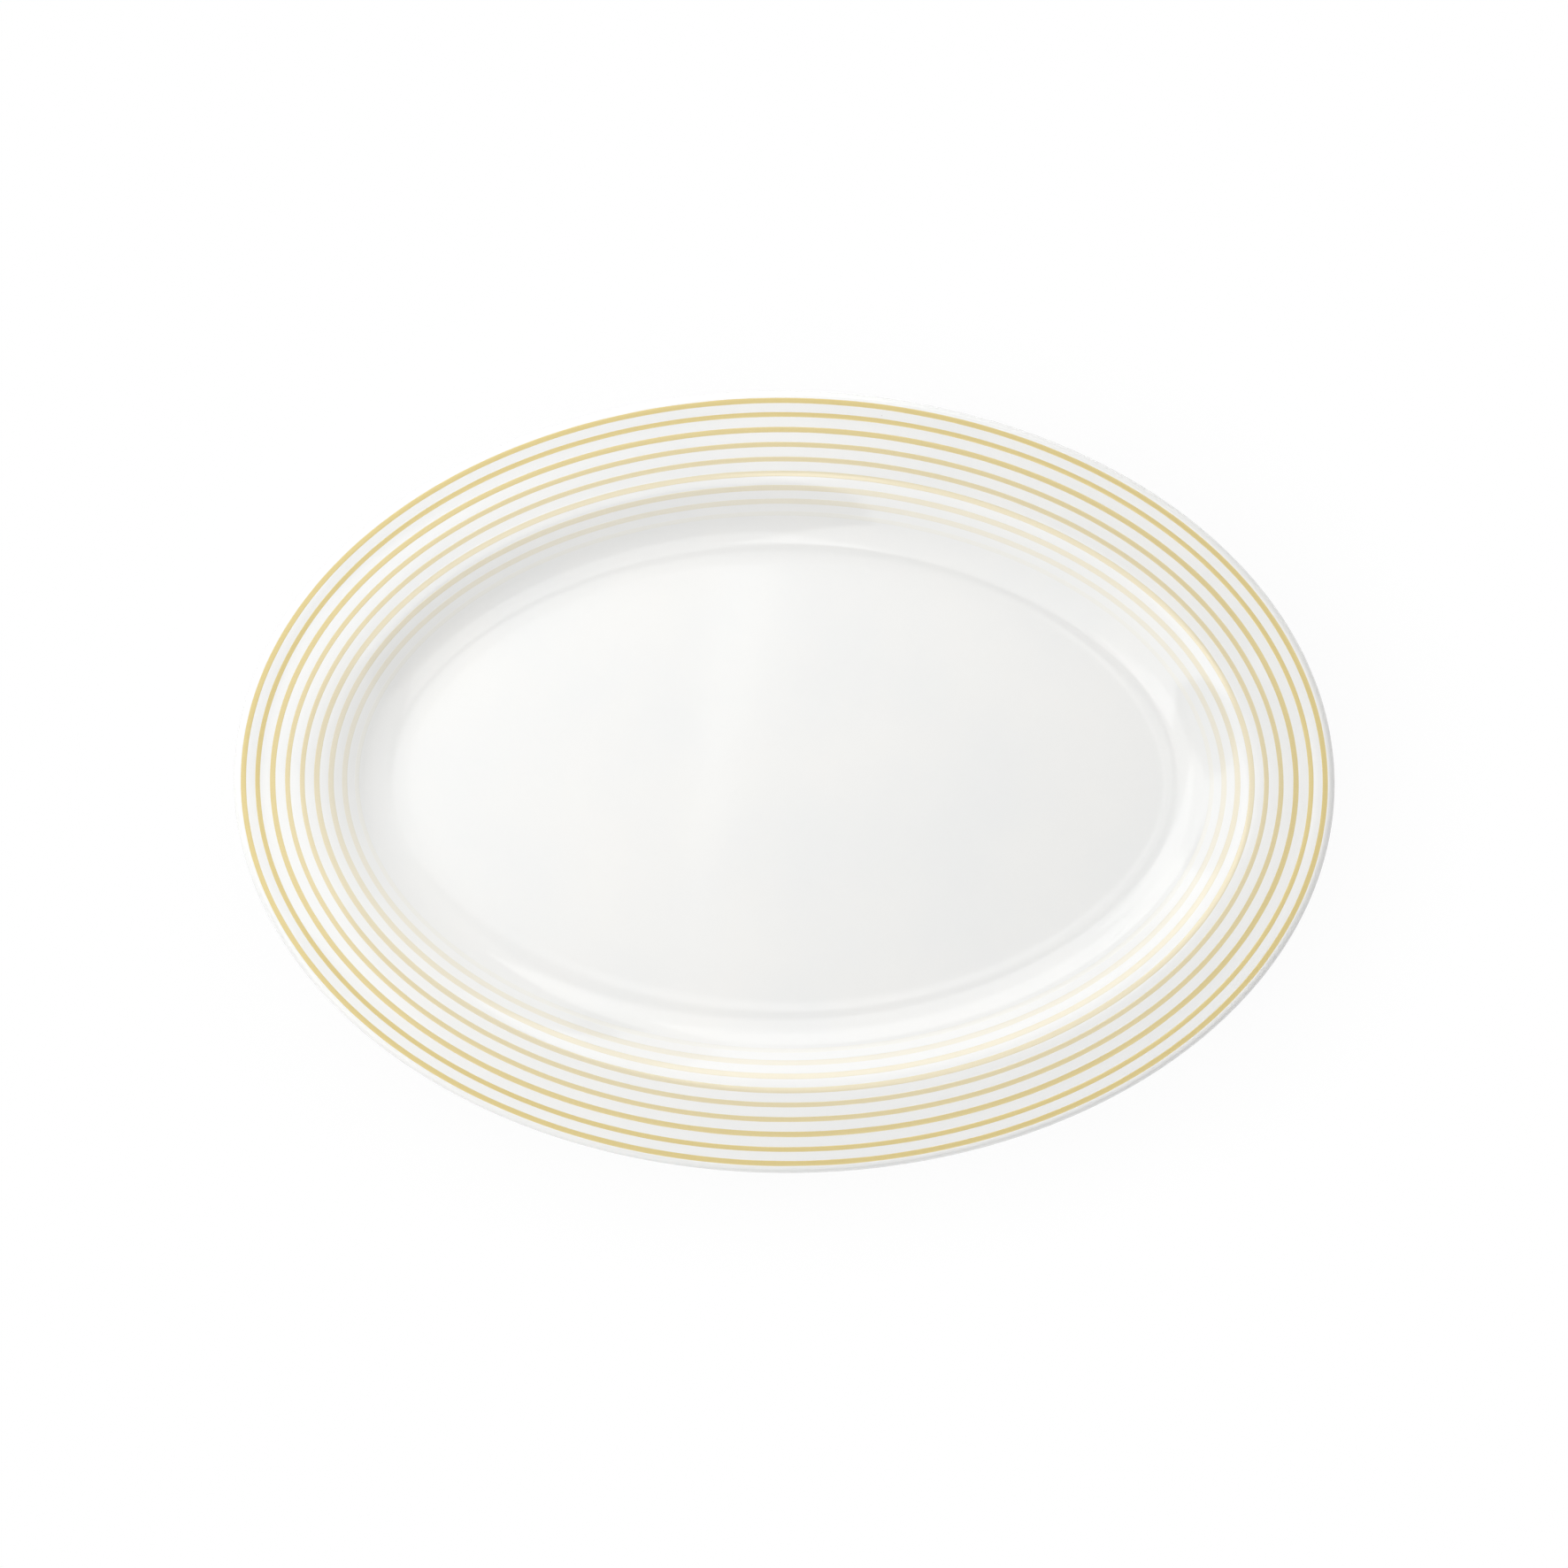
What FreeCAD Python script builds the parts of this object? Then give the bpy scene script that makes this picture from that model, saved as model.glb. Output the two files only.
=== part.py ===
import FreeCAD, Part
import math
import os
import Sketcher

# Oval china serving platter: a fired porcelain body, a clear glaze over it and gold bands on its rim.
# Millimetres. +Z is up, X is the long way, and the origin is on the table under the platter's middle.
#
# Every section is drawn in the XZ plane at the platter's right-hand end and swept round the oval rim
# line, so each line of the rim runs at one distance from the edge all the way round.

doc = FreeCAD.newDocument("serving_platter")

# ---------------------------------------------------------------- driving dimensions

sheet = doc.addObject("Spreadsheet::Sheet", "sizes")
driving = [
    ("platter_length", 380, "over the glaze, along X"),
    ("platter_width", 270, "over the glaze, along Y"),
    ("platter_height", 32, "table to the top of the lip"),
    ("wall", 4.2, "thickness everywhere, glaze on both faces included"),
    ("floor_height", 8, "table to the floor of the well"),
    ("lip_slope", 10, "degrees, where the flange leaves the lip"),
    ("brow_slope", 25, "degrees, where the flange turns down into the well"),
    ("flange_radius", 120, "crown of the flange"),
    ("brow_radius", 38.7, "rounding between flange and wall of the well"),
    ("verge_radius", 22.6, "hollow between wall and floor of the well"),
    ("floor_lap", 5, "flat floor swept with the rim, inside the verge"),
    ("disc_lap", 4.5, "edge of the floor disc inside the verge, within floor_lap"),
    ("foot_out", 8.2, "outer edge of the foot, outside the verge's floor line"),
    ("foot_width", 5.2, "standing width of the foot"),
    ("foot_flare", 1.3, "run of each side of the foot, from standing edge to root"),
    ("foot_bare", 0.8, "height at the foot wiped clear of glaze"),
    ("foot_grind", 0.5, "ground off the fired foot to make it stand flat"),
    ("glaze", 0.3, "thickness of the glaze"),
    ("band_width", 1.7, "width of a gold band"),
    ("band_thick", 0.15, "thickness of a gold band"),
    ("band_start", 0.9, "lip to the middle of the first band, along the flange"),
    ("first_pitch", 4.9, "first band to the second, along the flange"),
    ("band_pitch", 5.35, "each later band to the next, along the surface"),
    ("band_count", 9, "gold bands, outermost to innermost"),
]
for row, (alias, value, note) in enumerate(driving, start=1):
    sheet.set(f"A{row}", alias)
    sheet.set(f"B{row}", str(value))
    sheet.setAlias(f"B{row}", alias)
    sheet.set(f"C{row}", note)
doc.recompute()

# ---------------------------------------------------------------- centres of the section's arcs

# The upper and lower faces share these centres, which keeps the wall one thickness. Each arc touches
# the next on the line through both centres: lip to flange, flange to brow, brow to verge.
centre = doc.addObject("App::VarSet", "centre")
derived = [
    ("lip_x", "sizes.platter_length / 2 - sizes.wall / 2"),
    ("lip_z", "sizes.platter_height - sizes.wall / 2"),
    ("flange_x", "centre.lip_x + (sizes.flange_radius - sizes.wall / 2) * sin(sizes.lip_slope)"),
    ("flange_z", "centre.lip_z - (sizes.flange_radius - sizes.wall / 2) * cos(sizes.lip_slope)"),
    ("brow_x", "centre.flange_x - (sizes.flange_radius - sizes.brow_radius) * sin(sizes.brow_slope)"),
    ("brow_z", "centre.flange_z + (sizes.flange_radius - sizes.brow_radius) * cos(sizes.brow_slope)"),
    ("verge_z", "sizes.floor_height + sizes.verge_radius"),
    ("verge_x", "centre.brow_x - sqrt((sizes.brow_radius + sizes.verge_radius) ^ 2"
                " - (centre.verge_z - centre.brow_z) ^ 2)"),
    ("wall_sine", "(centre.brow_x - centre.verge_x) / (sizes.brow_radius + sizes.verge_radius)"),
    ("wall_slope", "asin(centre.wall_sine) / 1 deg"),
    ("flange_run", "sizes.flange_radius * (sizes.brow_slope - sizes.lip_slope) * pi / 180"),
    ("brow_run", "sizes.brow_radius * (centre.wall_slope - sizes.brow_slope) * pi / 180"),
    ("floor_x", "centre.verge_x - sizes.floor_lap"),
    ("under_z", "sizes.floor_height - sizes.wall"),
    ("foot_out_x", "centre.verge_x + sizes.foot_out"),
    ("foot_in_x", "centre.foot_out_x - sizes.foot_width"),
]
for name, rule in derived:
    centre.addProperty("App::PropertyFloat", name)
    centre.setExpression(name, rule)
doc.recompute()


def number(rule):
    """Value of an expression, to draw a sketch where its constraints will hold it."""
    return float(centre.evalExpression(rule))


# ---------------------------------------------------------------- drawing helpers

def new_body(label):
    body = doc.addObject("PartDesign::Body", label)
    body.Label = label
    return body


def new_sketch(body, plane, name):
    sketch = body.newObject("Sketcher::SketchObject", name)
    origin_plane = [f for f in body.Origin.OriginFeatures if f.Role == plane][0]
    sketch.AttachmentSupport = [(origin_plane, "")]
    sketch.MapMode = "FlatFace"
    return sketch


def pin(sketch, direction, geometry, point, rule):
    """Hold one coordinate of a sketch point at an expression."""
    constraint = Sketcher.Constraint(direction, -1, 1, geometry, point, number(rule))
    index = sketch.addConstraint(constraint)
    sketch.setExpression(f"Constraints[{index}]", rule)


def join(sketch, geometry, point, other, other_point):
    sketch.addConstraint(Sketcher.Constraint("Coincident", geometry, point, other, other_point))


class Pen:
    """Draws one connected run of lines and arcs in a sketch, each end held by an expression."""

    def __init__(self, sketch):
        self.sketch = sketch
        self.first = None
        self.last = None
        self.x = 0.0
        self.z = 0.0

    def connect(self, geometry, start):
        """Hang a new stroke's start on the last one's end."""
        if self.last:
            join(self.sketch, geometry, start, *self.last)
        else:
            self.first = (geometry, start)

    def start(self, x, z):
        self.x, self.z = number(x), number(z)
        self.start_rules = (x, z)

    def line(self, x, z):
        here = FreeCAD.Vector(self.x, self.z, 0)
        there = FreeCAD.Vector(number(x), number(z), 0)
        geometry = self.sketch.addGeometry(Part.LineSegment(here, there), False)
        if self.last is None:
            pin(self.sketch, "DistanceX", geometry, 1, self.start_rules[0])
            pin(self.sketch, "DistanceY", geometry, 1, self.start_rules[1])
        self.connect(geometry, 1)
        pin(self.sketch, "DistanceX", geometry, 2, x)
        pin(self.sketch, "DistanceY", geometry, 2, z)
        self.last = (geometry, 2)
        self.x, self.z = there.x, there.y

    def arc(self, about, x, turn, side):
        """Arc about a named centre to the point at x, on the upper (1) or lower (-1) side of the centre.

        turn is 1 for counter-clockwise and -1 for clockwise.
        """
        middle_x, middle_z = number(f"centre.{about}_x"), number(f"centre.{about}_z")
        radius = math.hypot(self.x - middle_x, self.z - middle_z)
        end_x = number(x)
        end_z = middle_z + side * math.sqrt(radius ** 2 - (end_x - middle_x) ** 2)
        here = math.atan2(self.z - middle_z, self.x - middle_x)
        there = math.atan2(end_z - middle_z, end_x - middle_x)
        circle = Part.Circle(FreeCAD.Vector(middle_x, middle_z, 0), FreeCAD.Vector(0, 0, 1), radius)
        ends = (here, there) if turn > 0 else (there, here)
        geometry = self.sketch.addGeometry(Part.ArcOfCircle(circle, *ends), False)
        near, far = (1, 2) if turn > 0 else (2, 1)
        self.connect(geometry, near)
        pin(self.sketch, "DistanceX", geometry, 3, f"centre.{about}_x")
        pin(self.sketch, "DistanceY", geometry, 3, f"centre.{about}_z")
        pin(self.sketch, "DistanceX", geometry, far, x)
        self.last = (geometry, far)
        self.x, self.z = end_x, end_z

    def close(self):
        bridge(self.sketch, self.last, self.first)


def bridge(sketch, one, other):
    """A straight line between two points already in the sketch."""
    start = sketch.getPoint(*one)
    end = sketch.getPoint(*other)
    geometry = sketch.addGeometry(Part.LineSegment(start, end), False)
    join(sketch, geometry, 1, *one)
    join(sketch, geometry, 2, *other)


def draw_oval(body, name, length, width, height="0"):
    """An oval sketch of the given full axes, lying level at a height."""
    sketch = new_sketch(body, "XY_Plane", name)
    sketch.setExpression(".AttachmentOffset.Base.z", height)
    oval = Part.Ellipse(FreeCAD.Vector(0, 0, 0), number(length) / 2, number(width) / 2)
    sketch.addGeometry(oval, False)
    sketch.exposeInternalGeometry(0)
    join(sketch, 0, 3, -1, 1)
    sketch.addConstraint(Sketcher.Constraint("Horizontal", 1))
    for axis, rule in ((1, length), (2, width)):
        index = sketch.addConstraint(Sketcher.Constraint("Distance", axis, number(rule)))
        sketch.setExpression(f"Constraints[{index}]", rule)
    return sketch


def sweep(body, section, name):
    """Carry a closed section once round the rim line."""
    rim_line = draw_oval(body, name + "_rim_line", "sizes.platter_length", "sizes.platter_width")
    pipe = body.newObject("PartDesign::AdditivePipe", name + "_sweep")
    pipe.Profile = section
    pipe.Spine = (rim_line, ["Edge1"])
    return pipe


def add_disc(body, name, height, thickness):
    """The flat middle that the swept rim leaves open."""
    length = "2 * (centre.verge_x - sizes.disc_lap)"
    width = length + " - sizes.platter_length + sizes.platter_width"
    outline = draw_oval(body, name + "_disc_outline", length, width, height)
    disc = body.newObject("PartDesign::Pad", name + "_disc")
    disc.Profile = outline
    disc.setExpression("Length", thickness)
    return disc


# ---------------------------------------------------------------- runs of the section

def draw_upper(pen, depth):
    """Floor, verge, brow, flange, lip and underside to the foot, at a depth below the glazed surface."""
    height = f"sizes.floor_height - {depth}"
    under = f"sizes.wall + {depth}"
    pen.start("centre.floor_x", height)
    pen.line("centre.verge_x", height)
    pen.arc("verge", f"centre.verge_x + (sizes.verge_radius + {depth}) * centre.wall_sine", 1, -1)
    pen.arc("brow", f"centre.brow_x - (sizes.brow_radius - {depth}) * sin(sizes.brow_slope)", -1, 1)
    pen.arc("flange", f"centre.flange_x - (sizes.flange_radius - {depth}) * sin(sizes.lip_slope)", -1, 1)
    pen.arc("lip", f"centre.lip_x + (sizes.wall / 2 - {depth}) * sin(sizes.lip_slope)", -1, -1)
    pen.arc("flange", f"centre.flange_x - (sizes.flange_radius - {under}) * sin(sizes.brow_slope)", 1, 1)
    pen.arc("brow", f"centre.brow_x - (sizes.brow_radius - {under}) * centre.wall_sine", 1, 1)
    pen.arc("verge", f"centre.foot_out_x + sizes.foot_flare - {depth}", -1, -1)
    pen.line(f"centre.foot_out_x - {depth}", "sizes.foot_bare")


def draw_recess(pen, depth):
    """Inner side of the foot and the hollow under the floor, at a depth below the glazed surface."""
    pen.line(f"centre.foot_in_x - sizes.foot_flare + {depth}", f"centre.under_z + {depth}")
    pen.line("centre.floor_x", f"centre.under_z + {depth}")


def close_skin(sketch, outer, inner):
    """Join the ends of two parallel runs, which makes a skin of the space between them."""
    bridge(sketch, outer.first, inner.first)
    bridge(sketch, outer.last, inner.last)


# ---------------------------------------------------------------- sub-parts

def make_porcelain_body():
    """Fired body: one wall with its foot, bare of glaze where it stands and ground flat there."""
    body = new_body("porcelain_body")
    section = new_sketch(body, "XZ_Plane", "body_section")
    pen = Pen(section)
    draw_upper(pen, "sizes.glaze")
    pen.line("centre.foot_out_x - sizes.glaze", "-sizes.foot_grind")
    pen.line("centre.foot_in_x + sizes.glaze", "-sizes.foot_grind")
    pen.line("centre.foot_in_x + sizes.glaze", "sizes.foot_bare")
    draw_recess(pen, "sizes.glaze")
    pen.close()
    sweep(body, section, "body")
    add_disc(body, "body", "centre.under_z + sizes.glaze", "sizes.wall - 2 * sizes.glaze")
    doc.recompute()
    before = body.Shape.Volume
    grinding = body.newObject("PartDesign::Pocket", "foot_grinding")
    grinding.Profile = draw_oval(body, "grinding_outline", "sizes.platter_length", "sizes.platter_width")
    grinding.setExpression("Length", "sizes.foot_grind")
    doc.recompute()
    if body.Shape.Volume >= before:
        raise RuntimeError("the grinding took nothing off the foot")
    return body


def make_glaze_coat():
    """Glaze over the well, flange, lip and outside, down to the wiped foot."""
    body = new_body("glaze_coat")
    section = new_sketch(body, "XZ_Plane", "glaze_section")
    outer = Pen(section)
    draw_upper(outer, "0")
    inner = Pen(section)
    draw_upper(inner, "sizes.glaze")
    close_skin(section, outer, inner)
    sweep(body, section, "glaze")
    add_disc(body, "glaze", "sizes.floor_height - sizes.glaze", "sizes.glaze")
    return body


def make_recess_glaze():
    """Glaze in the hollow that the foot surrounds."""
    body = new_body("recess_glaze")
    section = new_sketch(body, "XZ_Plane", "recess_section")
    runs = []
    for depth in ("0", "sizes.glaze"):
        pen = Pen(section)
        pen.start(f"centre.foot_in_x + {depth}", "sizes.foot_bare")
        draw_recess(pen, depth)
        runs.append(pen)
    close_skin(section, *runs)
    sweep(body, section, "recess")
    add_disc(body, "recess", "centre.under_z", "sizes.glaze")
    return body


def band_place(run):
    """Slope at a run from the lip, with the arc it lies on: centre, side of the centre and radius."""
    brow_start = number("centre.flange_run")
    verge_start = brow_start + number("centre.brow_run")
    if number(run) < brow_start:
        slope = f"(sizes.lip_slope + ({run}) / sizes.flange_radius * 180 / pi)"
        return slope, "centre.flange", 1, "sizes.flange_radius"
    if number(run) < verge_start:
        slope = f"(sizes.brow_slope + ({run} - centre.flange_run) / sizes.brow_radius * 180 / pi)"
        return slope, "centre.brow", 1, "sizes.brow_radius"
    past = f"({run} - centre.flange_run - centre.brow_run)"
    slope = f"(centre.wall_slope - {past} / sizes.verge_radius * 180 / pi)"
    # In the hollow a flat ribbon rests on its two edges.
    reach = "sqrt(sizes.verge_radius ^ 2 - (sizes.band_width / 2) ^ 2)"
    return slope, "centre.verge", -1, reach


def make_gold_band(order):
    """One gold line on the glaze, a flat ribbon tilted to the rim where it lies."""
    body = new_body(f"gold_band_{order}")
    run = "sizes.band_start"
    if order > 1:
        run += f" + sizes.first_pitch + {order - 2} * sizes.band_pitch"
    slope, about, side, reach = band_place(run)
    section = new_sketch(body, "XZ_Plane", f"band_{order}_section")
    section.setExpression(".AttachmentOffset.Base.x", f"{about}_x - {side} * {reach} * sin({slope})")
    section.setExpression(".AttachmentOffset.Base.y", f"{about}_z + {side} * {reach} * cos({slope})")
    section.setExpression(".AttachmentOffset.Rotation.Angle", slope)
    pen = Pen(section)
    pen.start("-sizes.band_width / 2", "0")
    pen.line("sizes.band_width / 2", "0")
    pen.line("sizes.band_width / 2", "sizes.band_thick")
    pen.line("-sizes.band_width / 2", "sizes.band_thick")
    pen.close()
    sweep(body, section, f"band_{order}")
    return body


parts = [make_porcelain_body(), make_glaze_coat(), make_recess_glaze()]
for order in range(1, int(number("sizes.band_count")) + 1):
    parts.append(make_gold_band(order))
doc.recompute()

# ---------------------------------------------------------------- checks and files

for item in doc.Objects:
    if "Invalid" in item.State or "Error" in item.State:
        raise RuntimeError(f"{item.Label} did not build: {item.State}")
for part in parts:
    shape = part.Shape
    if shape.isNull() or not shape.isValid():
        raise RuntimeError(f"{part.Label} has no valid shape")
    if len(shape.Solids) != 1:
        raise RuntimeError(f"{part.Label} is not one solid")

os.makedirs("parts", exist_ok=True)
for part in parts:
    part.Shape.exportStep(f"parts/{part.Label}.step")
    size = part.Shape.optimalBoundingBox(True, False)
    print(f"{part.Label}: {size.XLength:.2f} x {size.YLength:.2f} x {size.ZLength:.2f} mm,"
          f" {part.Shape.Volume / 1000:.3f} cm3")
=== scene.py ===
import math
import bmesh
import bpy
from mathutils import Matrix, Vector, noise


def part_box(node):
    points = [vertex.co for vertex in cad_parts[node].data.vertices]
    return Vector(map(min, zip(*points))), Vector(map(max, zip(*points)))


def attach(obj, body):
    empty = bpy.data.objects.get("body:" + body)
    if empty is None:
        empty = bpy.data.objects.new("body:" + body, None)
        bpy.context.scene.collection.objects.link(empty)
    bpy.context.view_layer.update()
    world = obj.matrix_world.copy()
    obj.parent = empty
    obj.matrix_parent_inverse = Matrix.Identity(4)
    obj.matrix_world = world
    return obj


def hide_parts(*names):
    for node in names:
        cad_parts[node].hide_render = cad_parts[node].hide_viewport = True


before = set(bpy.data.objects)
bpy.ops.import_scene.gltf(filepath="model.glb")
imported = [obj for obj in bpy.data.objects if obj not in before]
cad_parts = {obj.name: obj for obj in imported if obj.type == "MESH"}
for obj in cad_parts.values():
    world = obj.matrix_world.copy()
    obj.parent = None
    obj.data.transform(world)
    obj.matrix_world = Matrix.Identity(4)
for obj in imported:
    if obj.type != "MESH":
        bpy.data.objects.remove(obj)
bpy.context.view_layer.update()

print("platter frame loaded")

# the glazed section, in metres and degrees; the outline and heights come from the frame
section = {
    "wall": 0.0042,          # one thickness from lip to foot
    "floorHeight": 0.008,    # table to the floor of the well
    "lipSlope": 10,          # where the flange leaves the lip
    "browSlope": 25,         # where the flange turns down into the well
    "flangeRadius": 0.120,
    "browRadius": 0.0387,
    "vergeRadius": 0.0226,   # hollow between wall and floor
    "glaze": 0.0003,
    "steps": 2.0,            # degrees between points on the tight bends
    "flangeSteps": 0.6,      # the same on the flange and on the brow
    "browSteps": 1.6,
    "lipSteps": 12,
    "flatFrom": 0.0625,      # inset where the level floor begins
    "flatRing": 0.8,         # one more ring on the floor, as a share of half the width
}

# what firing does to the even section: flange and wall settle, glaze fills the hollow (a depth under 0),
# and a soft line is left round the floor; begin, deepest and gone are insets from the edge
fired = {
    "flange": {"depth": 0.001, "begin": 0.001, "deepest": 0.0115, "gone": 0.034},
    "wall": {"depth": 0.001, "begin": 0.028, "deepest": 0.0395, "gone": 0.048},
    "hollow": {"depth": -0.00015, "begin": 0.046, "deepest": 0.05, "gone": 0.062},
    "floorLine": {"depth": 0.00002, "inset": 0.054, "width": 0.0009},
}

outline = {
    "turns": 560,            # points round the rim
    "deepest": 0.062,        # inset of the last ring that runs parallel to the rim
}


rimLow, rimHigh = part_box("glaze_coat")
halfLength, halfWidth = min(-rimLow.x, rimHigh.x), min(-rimLow.y, rimHigh.y)
lipHeight = rimHigh.z


def settle(inset):
    # how far the fired china lies under the even section at an inset from the edge
    line = fired["floorLine"]
    drop = line["depth"] * math.exp(-((inset - line["inset"]) / line["width"]) ** 2 / 2)
    for sag in (fired["flange"], fired["wall"], fired["hollow"]):
        if sag["begin"] < inset < sag["gone"]:
            end = sag["begin"] if inset < sag["deepest"] else sag["gone"]
            part = (inset - end) / (sag["deepest"] - end)
            drop += sag["depth"] * (1 - math.cos(math.pi * part)) / 2
    return drop


def rimPoint(turn, inset, height):
    # point at an inset from the oval edge, square to it; past the deepest ring it closes on the centre
    held = min(inset, outline["deepest"])
    x, y = halfLength * math.cos(turn), halfWidth * math.sin(turn)
    inward = Vector((-halfWidth * math.cos(turn), -halfLength * math.sin(turn))).normalized()
    shrink = 1 - (inset - held) / (halfWidth - outline["deepest"])
    return (x + inward.x * held) * shrink, (y + inward.y * held) * shrink, height


def arcRun(centre, radius, start, end, step):
    # points (inset, height) about a centre, angles in degrees from straight up towards the well
    count = max(2, math.ceil(abs(end - start) / step))
    run = []
    for i in range(count + 1):
        angle = math.radians(start + (end - start) * i / count)
        run.append((centre[0] + radius * math.sin(angle), centre[1] + radius * math.cos(angle)))
    return run


def towards(centre, distance, degrees):
    angle = math.radians(degrees)
    return centre[0] + distance * math.sin(angle), centre[1] + distance * math.cos(angle)


def sectionCentres():
    s = section
    half = s["wall"] / 2
    lip = (half, lipHeight - half)
    flange = towards(lip, s["flangeRadius"] - half, s["lipSlope"] + 180)
    brow = towards(flange, s["flangeRadius"] - s["browRadius"], s["browSlope"])
    vergeHeight = s["floorHeight"] + s["vergeRadius"]
    reach = s["browRadius"] + s["vergeRadius"]
    across = math.sqrt(reach ** 2 - (vergeHeight - brow[1]) ** 2)
    verge = (brow[0] + across, vergeHeight)
    wallSlope = math.degrees(math.asin(across / reach))
    return lip, flange, brow, verge, wallSlope


lip, flange, brow, verge, wallSlope = sectionCentres()


def upperRun(depth):
    # floor edge to lip, at a depth under the glazed surface
    s = section
    run = arcRun(verge, s["vergeRadius"] + depth, 180, 180 + wallSlope, s["steps"])
    run += arcRun(brow, s["browRadius"] - depth, wallSlope, s["browSlope"], s["browSteps"])[1:]
    run += arcRun(flange, s["flangeRadius"] - depth, s["browSlope"], s["lipSlope"], s["flangeSteps"])[1:]
    run += arcRun(lip, s["wall"] / 2 - depth, s["lipSlope"], s["lipSlope"] - 180, s["lipSteps"])[1:]
    return run


def lowerRun(depth, root):
    # lip to the root of the foot along the outside
    s = section
    wall = s["wall"] - depth
    run = arcRun(flange, s["flangeRadius"] - wall, s["lipSlope"], s["browSlope"], s["steps"])
    run += arcRun(brow, s["browRadius"] - wall, s["browSlope"], wallSlope, s["steps"])[1:]
    radius = s["vergeRadius"] + wall
    last = math.degrees(math.asin((verge[0] - root) / radius))
    run += arcRun(verge, radius, 180 + wallSlope, 180 + last, s["steps"])[1:]
    return run


def makePiece(name, points, faces):
    # a smooth closed piece with its faces outward
    mesh = bpy.data.meshes.new(name)
    mesh.from_pydata(points, [], faces)
    shell = bmesh.new()
    shell.from_mesh(mesh)
    bmesh.ops.recalc_face_normals(shell, faces=shell.faces)
    shell.to_mesh(mesh)
    shell.free()
    mesh.shade_smooth()
    piece = bpy.data.objects.new(name, mesh)
    bpy.context.scene.collection.objects.link(piece)
    return piece


def sweepRound(name, run):
    # carries a section round the oval; a run that starts and ends on the centre closes there with a fan
    turns = outline["turns"]
    points, faces, rings = [], [], []
    for inset, height in run:
        height -= settle(inset) if height > foot["rise"] else 0
        if inset >= halfWidth - 1e-6:
            rings.append([len(points)])
            points.append((0, 0, height))
            continue
        rings.append(list(range(len(points), len(points) + turns)))
        for k in range(turns):
            points.append(rimPoint(2 * math.pi * k / turns, inset, height))
    for one, two in zip(rings, rings[1:]):
        for k in range(turns):
            after = (k + 1) % turns
            if len(one) == 1:
                faces.append((one[0], two[after], two[k]))
            elif len(two) == 1:
                faces.append((one[k], one[after], two[0]))
            else:
                faces.append((one[k], one[after], two[after], two[k]))
    return makePiece(name, points, faces)


def newFinish(name):
    finish = bpy.data.materials.new(name)
    finish.use_nodes = True
    tree = finish.node_tree
    return finish, tree, tree.nodes["Principled BSDF"]


def addNode(tree, kind, settings=None, **inputs):
    # a node with its settings and the fixed values or links of its inputs; n0, n1 are inputs by number
    node = tree.nodes.new(kind)
    for key, value in (settings or {}).items():
        setattr(node, key, value)
    for key, value in inputs.items():
        socket = node.inputs[int(key[1:])] if key[0] == "n" and key[1:].isdigit() else node.inputs[key]
        if isinstance(value, bpy.types.NodeSocket):
            tree.links.new(value, socket)
        else:
            socket.default_value = value
    return node


def noiseAt(tree, vector, size, detail=3):
    # noise whose features are about one size, in metres
    return addNode(tree, "ShaderNodeTexNoise", Vector=vector, Scale=1 / size, Detail=detail).outputs["Fac"]


def spread(tree, value, low, high, start=0.3, end=0.7):
    # maps one range onto another; the first is a noise's middle unless given
    node = addNode(tree, "ShaderNodeMapRange", Value=value)
    node.inputs["From Min"].default_value = start
    node.inputs["From Max"].default_value = end
    node.inputs["To Min"].default_value = low
    node.inputs["To Max"].default_value = high
    return node.outputs["Result"]


def mixColours(tree, amount, one, two):
    node = addNode(tree, "ShaderNodeMix", {"data_type": "RGBA"})
    for value, socket in ((amount, node.inputs[0]), (one, node.inputs[6]), (two, node.inputs[7])):
        if isinstance(value, bpy.types.NodeSocket):
            tree.links.new(value, socket)
        else:
            socket.default_value = value
    return node.outputs[2]


china = {
    "white": (0.842, 0.838, 0.820, 1),
    "shade": (0.816, 0.820, 0.812, 1),   # where the glaze lies a little thicker
    "speck": (0.60, 0.57, 0.52, 1),
    "pool": 0.045,                       # size of the thick and thin patches
    "ripple": 0.006,                     # the glaze's slow unevenness
    "grain": 0.0006,                     # pin-head texture of the glaze
    "roughness": 0.045,
    "unevenRoughness": 0.03,
    "ior": 1.52,
    "rippleHeight": 0.00002,
    "grainHeight": 0.000003,
    "speckCell": 0.011,                  # one speck at most in a patch of this size
    "speckReach": (0.012, 0.022),        # full and faded edge of a speck, as a share of the patch
    "speckRare": 0.93,                   # share of the patches without a speck
}


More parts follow.
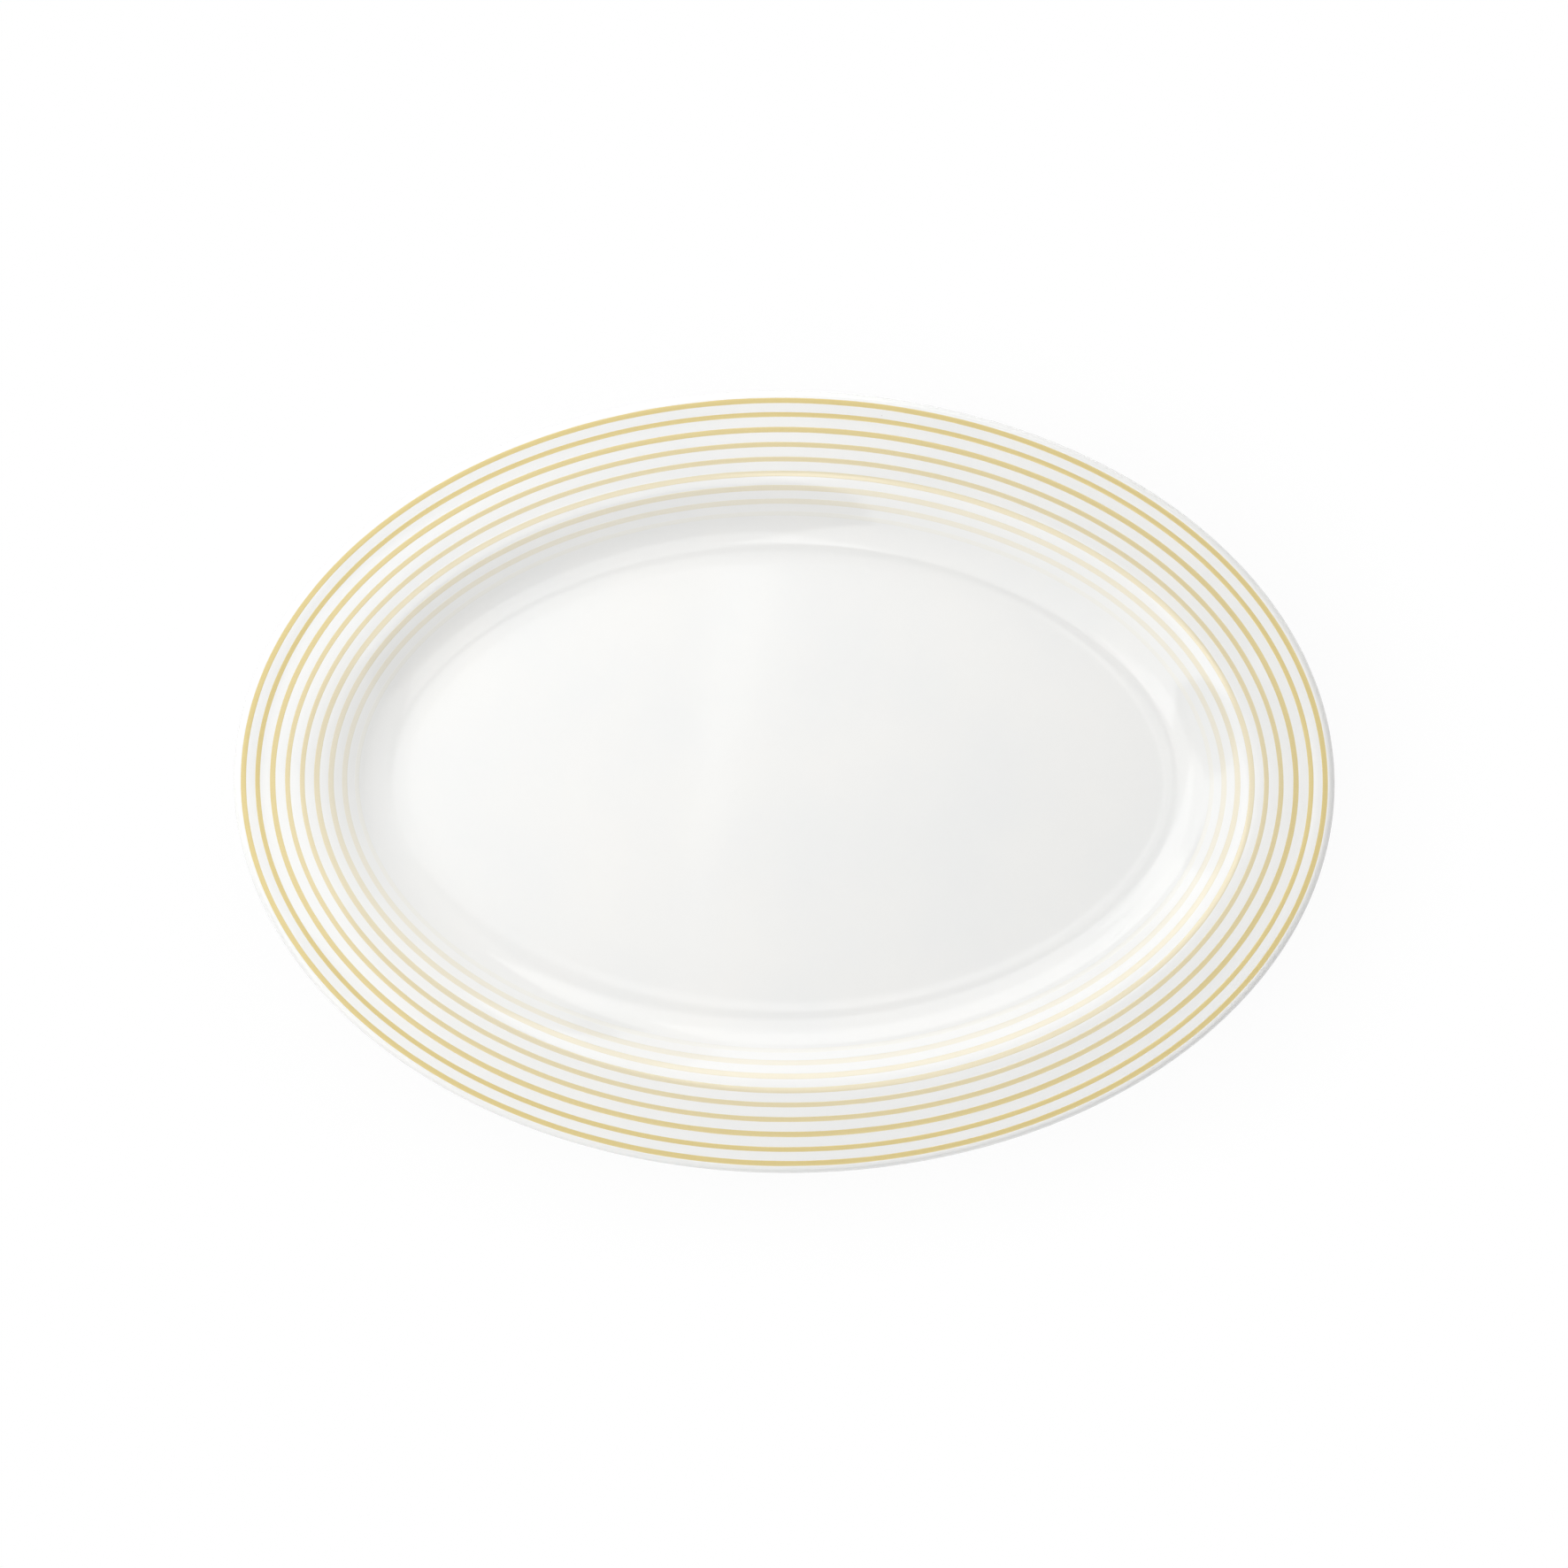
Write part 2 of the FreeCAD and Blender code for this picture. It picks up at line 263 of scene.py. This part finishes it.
def glazeFinish():
    finish, tree, shader = newFinish("china_glaze")
    place = addNode(tree, "ShaderNodeTexCoord").outputs["Object"]
    pool = spread(tree, noiseAt(tree, place, china["pool"]), 0, 1)
    ripple = noiseAt(tree, place, china["ripple"], detail=2)
    grain = noiseAt(tree, place, china["grain"], detail=2)
    colour = mixColours(tree, pool, china["white"], china["shade"])
    # rare dark pin specks from the firing
    cells = addNode(tree, "ShaderNodeTexVoronoi", Vector=place, Scale=1 / china["speckCell"])
    near = spread(tree, cells.outputs["Distance"], 1, 0, *china["speckReach"])
    draw = addNode(tree, "ShaderNodeSeparateColor", Color=cells.outputs["Color"]).outputs[0]
    rare = spread(tree, draw, 0, 1, china["speckRare"], china["speckRare"] + 0.01)
    speck = addNode(tree, "ShaderNodeMath", {"operation": "MULTIPLY"}, n0=near, n1=rare).outputs[0]
    colour = mixColours(tree, speck, colour, china["speck"])
    tree.links.new(colour, shader.inputs["Base Color"])
    rough = spread(tree, ripple, china["roughness"], china["roughness"] + china["unevenRoughness"])
    tree.links.new(rough, shader.inputs["Roughness"])
    shader.inputs["IOR"].default_value = china["ior"]
    slow = addNode(tree, "ShaderNodeBump", Height=ripple, Strength=0.25, Distance=china["rippleHeight"])
    fine = addNode(tree, "ShaderNodeBump", Height=grain, Strength=0.2, Distance=china["grainHeight"],
                   Normal=slow.outputs["Normal"])
    tree.links.new(fine.outputs["Normal"], shader.inputs["Normal"])
    return finish


bisque = {
    "clay": (0.72, 0.69, 0.63, 1),
    "toast": (0.58, 0.50, 0.40, 1),      # where the kiln shelf warmed it
    "toasted": 0.6,                      # most that the warmth covers
    "grain": 0.0004,
    "grainHeight": 0.00006,
    "patch": 0.012,
    "roughness": (0.7, 0.9),
}


def bisqueFinish():
    finish, tree, shader = newFinish("bare_bisque")
    place = addNode(tree, "ShaderNodeTexCoord").outputs["Object"]
    patch = spread(tree, noiseAt(tree, place, bisque["patch"]), 0, bisque["toasted"])
    grain = noiseAt(tree, place, bisque["grain"], detail=4)
    tree.links.new(mixColours(tree, patch, bisque["clay"], bisque["toast"]), shader.inputs["Base Color"])
    tree.links.new(spread(tree, grain, *bisque["roughness"]), shader.inputs["Roughness"])
    bump = addNode(tree, "ShaderNodeBump", Height=grain, Strength=0.6, Distance=bisque["grainHeight"])
    tree.links.new(bump.outputs["Normal"], shader.inputs["Normal"])
    return finish


gilding = {
    "count": 9,
    # outermost first
    "widths": (0.00185, 0.0017, 0.00195, 0.0018, 0.0018, 0.0021, 0.0021, 0.00215, 0.002),
    "start": 0.0009,         # lip to the first line, along the flange
    "firstPitch": 0.0049,
    "pitch": 0.00531,
    "thick": 0.00003,
    "thinnest": 0.4,         # share of that thickness that a line with hardly any gold keeps
    "waver": 0.00004,        # how far the hand strays from the oval
    "waverPace": 9,          # how often it strays on the way round
    "swell": 0.05,           # share by which a stroke widens and narrows
    "swellPace": 14,
    "streaks": (5.3, 7),     # brush streaks: slow along the line, fine across it
    "gold": (0.724, 0.594, 0.273, 1),
    "dark": (0.65, 0.50, 0.205, 1),      # where a brush stroke doubled
    "pale": (0.828, 0.822, 0.785, 1),    # china seen through thin gold
    # how much of the china each line covers, outermost first; the last is a trace
    "cover": (1, 0.99, 0.93, 0.8, 0.68, 0.56, 0.4, 0.25, 0.03),
    "patchy": (-0.04, 0.02),             # how unevenly each line covers
    "doubled": 0.25,                     # most of the dark that a doubled stroke adds
    "grain": 0.0004,
    "streakHeight": 0.00001,
    "metal": 0.05,
    "roughness": (0.05, 0.14),
}


def goldFinish(order):
    finish, tree, shader = newFinish(f"gold_line_{order}")
    g = gilding
    cover = g["cover"][order - 1]
    place = addNode(tree, "ShaderNodeTexCoord").outputs["Object"]
    # brush streaks run along the line; the fired grain is even
    along = addNode(tree, "ShaderNodeAttribute", {"attribute_name": "stroke"}).outputs["Vector"]
    streak = noiseAt(tree, along, 1, detail=2)
    grain = noiseAt(tree, place, g["grain"], detail=3)
    gold = mixColours(tree, spread(tree, streak, 0, g["doubled"]), g["gold"], g["dark"])
    thin = spread(tree, grain, max(0, cover + g["patchy"][0]), cover + g["patchy"][1])
    tree.links.new(mixColours(tree, thin, g["pale"], gold), shader.inputs["Base Color"])
    # a trace of gold has no shine of its own
    shader.inputs["Metallic"].default_value = g["metal"] * min(1, 4 * cover ** 2)
    tree.links.new(spread(tree, grain, *g["roughness"]), shader.inputs["Roughness"])
    shader.inputs["IOR"].default_value = china["ior"]
    bump = addNode(tree, "ShaderNodeBump", Height=streak, Strength=0.3, Distance=g["streakHeight"])
    tree.links.new(bump.outputs["Normal"], shader.inputs["Normal"])
    return finish


foot = {
    "out": 0.0082,           # standing edge outside the floor line of the verge
    "width": 0.0052,
    "flare": 0.0013,         # run of each side
    "bare": 0.0008,          # wiped clear of glaze
    "bead": 0.00005,         # the glaze rounds off this high over the bare clay
    "rootRadius": 0.0016,    # soft glaze-filled corner where the foot meets the wall
    "rise": 0.0042,          # nothing settles under this height: the kiln shelf holds the foot true
}

footOut = verge[0] - foot["out"]
footIn = footOut + foot["width"]
underHeight = section["floorHeight"] - section["wall"]


def softCorner(before, corner, after, radius, count=6):
    # rounds a corner of a run with a curve that starts and ends a radius away
    a, b, c = Vector(before), Vector(corner), Vector(after)
    start = b + (a - b).normalized() * radius
    end = b + (c - b).normalized() * radius
    run = []
    for i in range(count + 1):
        t = i / count
        run.append(tuple(start * (1 - t) ** 2 + b * 2 * t * (1 - t) + end * t ** 2))
    return run


def flatRun(height):
    # a level floor from the middle outwards
    return [(halfWidth, height), (halfWidth * section["flatRing"], height), (section["flatFrom"], height)]


def glazeEnd(side, into):
    # the rounded end of the glaze over the bare clay; into is 1 on the foot's outside and -1 on its inside
    g, bare, bead = section["glaze"] * into, foot["bare"], foot["bead"]
    return [(side + g * 0.1, bare + abs(g)), (side + g * 0.5, bare + bead), (side + g, bare)]


def clayEnd(side, into):
    # the clay under it, eased down to the standing face
    g = section["glaze"] * into
    return [(side + g, foot["bare"]), (side + g * 1.1, abs(g)), (side + g * 2, 0)]


def makeGlazeCoat():
    # one closed skin: middle of the floor, over the rim, down to the foot and back underneath
    s, f = section, foot
    root = footOut - f["flare"]
    outside = lowerRun(0, root)   # its last four points give way to the soft corner
    run = flatRun(s["floorHeight"]) + upperRun(0) + outside[1:-4]
    run += softCorner(outside[-4], outside[-1], (footOut, f["bare"]), f["rootRadius"])
    run += glazeEnd(footOut, 1)
    inner = upperRun(s["glaze"]) + lowerRun(s["glaze"], root + s["glaze"])[1:]
    run += (inner[:1] + inner[1:-1:2] + inner[-1:])[::-1]   # the hidden side needs fewer points
    run += flatRun(s["floorHeight"] - s["glaze"])[::-1]
    return sweepRound("glazed_china", run)


def makeRecessGlaze():
    s, f = section, foot
    corner = (footIn + f["flare"], underHeight)
    run = flatRun(underHeight)
    run += softCorner(run[-1], corner, (footIn, f["bare"]), f["rootRadius"])
    run += glazeEnd(footIn, -1)
    depth = underHeight + s["glaze"]
    run += [(corner[0] - s["glaze"], depth)] + flatRun(depth)[::-1]
    return sweepRound("glazed_recess", run)


def makePorcelain():
    # the clay inside the glaze, bare on the standing face of the foot
    s, f = section, foot
    g = s["glaze"]
    root = footOut - f["flare"]
    ceiling = underHeight + g
    run = flatRun(s["floorHeight"] - g) + upperRun(g) + lowerRun(g, root + g)[1:]
    run += clayEnd(footOut, 1) + clayEnd(footIn, -1)[::-1]
    run += [(footIn + f["flare"] - g, ceiling)] + flatRun(ceiling)[::-1]
    return sweepRound("porcelain_clay", run)


def surfaceAt(run, lift):
    # inset and height at a run from the lip over flange, brow and verge
    s = section
    flangeRun = s["flangeRadius"] * math.radians(s["browSlope"] - s["lipSlope"])
    browRun = s["browRadius"] * math.radians(wallSlope - s["browSlope"])
    if run < flangeRun:
        slope = s["lipSlope"] + math.degrees(run / s["flangeRadius"])
        return towards(flange, s["flangeRadius"] + lift, slope)
    if run < flangeRun + browRun:
        slope = s["browSlope"] + math.degrees((run - flangeRun) / s["browRadius"])
        return towards(brow, s["browRadius"] + lift, slope)
    slope = wallSlope - math.degrees((run - flangeRun - browRun) / s["vergeRadius"])
    return towards(verge, s["vergeRadius"] - lift, 180 + slope)


def makeGoldLine(order):
    # a thin raised stroke of gold, painted by hand: its edges waver by a few hundredths of a millimetre
    g = gilding
    middle = g["start"] + (order > 1) * (g["firstPitch"] + (order - 2) * g["pitch"])
    # section of the stroke: share of its width, share of its thickness
    crown = [(-0.5, -0.4), (-0.49, 0.3), (-0.44, 0.8), (-0.3, 1), (0, 1),
             (0.3, 1), (0.44, 0.8), (0.49, 0.3), (0.5, -0.4)]
    width = g["widths"][order - 1]
    thick = g["thick"] * (g["thinnest"] + (1 - g["thinnest"]) * g["cover"][order - 1])
    turns = outline["turns"]
    along, over = g["streaks"]
    points, strokes, faces = [], [], []
    for k in range(turns):
        turn = 2 * math.pi * k / turns
        seat = Vector((math.cos(turn), math.sin(turn), 0))
        waver = noise.noise(seat * g["waverPace"] + Vector((0, 0, 7 * order))) * g["waver"]
        swell = 1 + noise.noise(seat * g["swellPace"] + Vector((3, 0, 5 * order))) * g["swell"]
        for across, up in crown:
            inset, height = surfaceAt(middle + waver + across * width * swell, up * thick)
            points.append(rimPoint(turn, inset, height - settle(inset)))
            strokes += [seat.x * along, seat.y * along, across * over + 20 * order]
    wide = len(crown)
    for k in range(turns):
        here, after = k * wide, (k + 1) % turns * wide
        for j in range(wide):
            n = (j + 1) % wide
            faces.append((here + j, here + n, after + n, after + j))
    piece = makePiece(f"gold_line_{order}", points, faces)
    stroke = piece.data.attributes.new("stroke", "FLOAT_VECTOR", "POINT")
    stroke.data.foreach_set("vector", strokes)
    return piece


def dress(piece, finish, node):
    piece.data.materials.clear()
    piece.data.materials.append(finish)
    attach(piece, "root")
    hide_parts(node)


glaze = glazeFinish()
dress(makeGlazeCoat(), glaze, "glaze_coat")
dress(makeRecessGlaze(), glaze, "recess_glaze")
print("glaze laid")

dress(makePorcelain(), bisqueFinish(), "porcelain_body")
print("porcelain formed")

for order in range(1, gilding["count"] + 1):
    dress(makeGoldLine(order), goldFinish(order), f"gold_band_{order}")
print("gold lines painted")


table = {
    "half": 30.0,
    "sink": 0.00005,         # just under the standing face
    "white": (0.86, 0.86, 0.86, 1),
    "shadow": 0.08,          # share of the real shading that shows round the foot
    "fadeFrom": 0.9,         # where that share starts to fade, as a share of the way to the rim
    "fadeTo": 1.3,
}


def seenRays(tree):
    # 1 for rays from the camera, in reflections and through glass; 0 for rays that carry light
    rays = addNode(tree, "ShaderNodeLightPath").outputs
    seen = rays["Is Camera Ray"]
    for kind in ("Is Glossy Ray", "Is Transmission Ray"):
        seen = addNode(tree, "ShaderNodeMath", {"operation": "MAXIMUM"}, n0=seen, n1=rays[kind]).outputs[0]
    return seen


def makeTable():
    # pale table that camera and reflections see almost white, keeping a share of the real shadow
    mesh = bpy.data.meshes.new("table_top")
    h = table["half"]
    low = -table["sink"]
    mesh.from_pydata([(-h, -h, low), (h, -h, low), (h, h, low), (-h, h, low)], [], [(0, 1, 2, 3)])
    piece = bpy.data.objects.new("table_top", mesh)
    bpy.context.scene.collection.objects.link(piece)
    finish = bpy.data.materials.new("table_white")
    finish.use_nodes = True
    tree = finish.node_tree
    tree.nodes.clear()
    place = addNode(tree, "ShaderNodeTexCoord").outputs["Object"]
    ovals = addNode(tree, "ShaderNodeVectorMath", {"operation": "MULTIPLY"},
                    n0=place, n1=(1 / halfLength, 1 / halfWidth, 0)).outputs["Vector"]
    away = addNode(tree, "ShaderNodeVectorMath", {"operation": "LENGTH"}, n0=ovals).outputs["Value"]
    whiteness = spread(tree, away, 1 - table["shadow"], 1, table["fadeFrom"], table["fadeTo"])
    share = addNode(tree, "ShaderNodeMath", {"operation": "MULTIPLY"},
                    n0=seenRays(tree), n1=whiteness).outputs[0]
    paper = addNode(tree, "ShaderNodeBsdfDiffuse", Color=table["white"]).outputs[0]
    glow = addNode(tree, "ShaderNodeEmission", Color=(1, 1, 1, 1), Strength=1.0).outputs[0]
    both = addNode(tree, "ShaderNodeMixShader", n0=share, n1=paper, n2=glow).outputs[0]
    addNode(tree, "ShaderNodeOutputMaterial", Surface=both)
    mesh.materials.append(finish)


# soft boxes, in degrees and metres: azimuth goes round from the platter's right end, elevation up from the
# table; glow is the brightness of a box's face, where 1 is white
lamps = {
    "back_left_low": {"azimuth": 116, "elevation": 28, "distance": 0.6, "size": (0.65, 0.35), "glow": 1.15},
    "back_left_wide": {"azimuth": 130, "elevation": 43, "distance": 0.65, "size": (1.5, 0.5), "glow": 1.4},
    "overhead_right": {"azimuth": -5, "elevation": 82, "distance": 0.8, "size": (0.5, 0.3), "glow": 0.75},
    "right_wall": {"azimuth": 20, "elevation": 15, "distance": 0.85, "size": (2.0, 1.65), "glow": 0.55},
    "front_left": {"azimuth": -120, "elevation": 31, "distance": 1.55, "size": (1.3, 1.5), "glow": 1.6},
    "overhead_left": {"azimuth": 165, "elevation": 82, "distance": 1.6, "size": (0.95, 0.4), "glow": 0.75},
    "left_strip": {"azimuth": 180, "elevation": 58, "distance": 0.6, "size": (0.8, 0.25), "glow": 0.95},
    "front_right": {"azimuth": -65, "elevation": 50, "distance": 1.05, "size": (0.7, 0.35), "glow": 1.25},
    "right_high": {"azimuth": 20, "elevation": 63, "distance": 1.75, "size": (0.55, 0.4), "glow": 0.45},
}


def makeLamp(name, azimuth, elevation, distance, size, glow):
    lamp = bpy.data.lights.new(name, "AREA")
    lamp.shape = "RECTANGLE"
    lamp.size, lamp.size_y = size
    lamp.energy = glow * math.pi * size[0] * size[1]
    lampObject = bpy.data.objects.new(name, lamp)
    a, e = math.radians(azimuth), math.radians(elevation)
    away = Vector((math.cos(a) * math.cos(e), math.sin(a) * math.cos(e), math.sin(e)))
    lampObject.location = away * distance
    lampObject.rotation_euler = away.to_track_quat("Z", "Y").to_euler()   # faces the platter
    lampObject.visible_camera = False
    bpy.context.scene.collection.objects.link(lampObject)


room = {
    "level": 0.15,
    "horizon": 1.0,          # brightness of the backdrop just over the table's edge
    "fadeFrom": 0.07,        # sine of the height where the backdrop starts to dim
    "fadeTo": 0.11,
}


def makeRoom():
    world = bpy.data.worlds.new("studio_room")
    bpy.context.scene.world = world
    world.use_nodes = True
    tree = world.node_tree
    tree.nodes.clear()
    away = addNode(tree, "ShaderNodeTexCoord").outputs["Generated"]
    height = addNode(tree, "ShaderNodeSeparateXYZ", Vector=away).outputs["Z"]
    level = spread(tree, height, room["horizon"], room["level"], room["fadeFrom"], room["fadeTo"])
    light = addNode(tree, "ShaderNodeBackground", Color=(1, 1, 1, 1), Strength=level).outputs[0]
    addNode(tree, "ShaderNodeOutputWorld", Surface=light)


view = {
    "height": 4.0,           # camera above the table, straight over the platter
    "across": 0.5412,        # width of the picture at the lip, for a platter of this length
    "turn": 0.43,            # degrees
    "aside": (-0.0001, -0.0007),   # how far the camera stands off the middle
}


def makeCamera():
    camera = bpy.data.cameras.new("overhead")
    camera.sensor_width = 36
    reach = view["height"] - lipHeight + section["wall"] / 2   # down to where the rim is widest
    camera.lens = camera.sensor_width * reach / view["across"]
    cameraObject = bpy.data.objects.new("overhead", camera)
    cameraObject.location = (*view["aside"], view["height"])
    cameraObject.rotation_euler = (0, 0, math.radians(view["turn"]))
    bpy.context.scene.collection.objects.link(cameraObject)
    bpy.context.scene.camera = cameraObject


makeTable()
for name, lamp in lamps.items():
    makeLamp(name, **lamp)
makeRoom()
makeCamera()
bpy.context.scene.view_settings.view_transform = "Standard"
print("table, lamps and camera set")
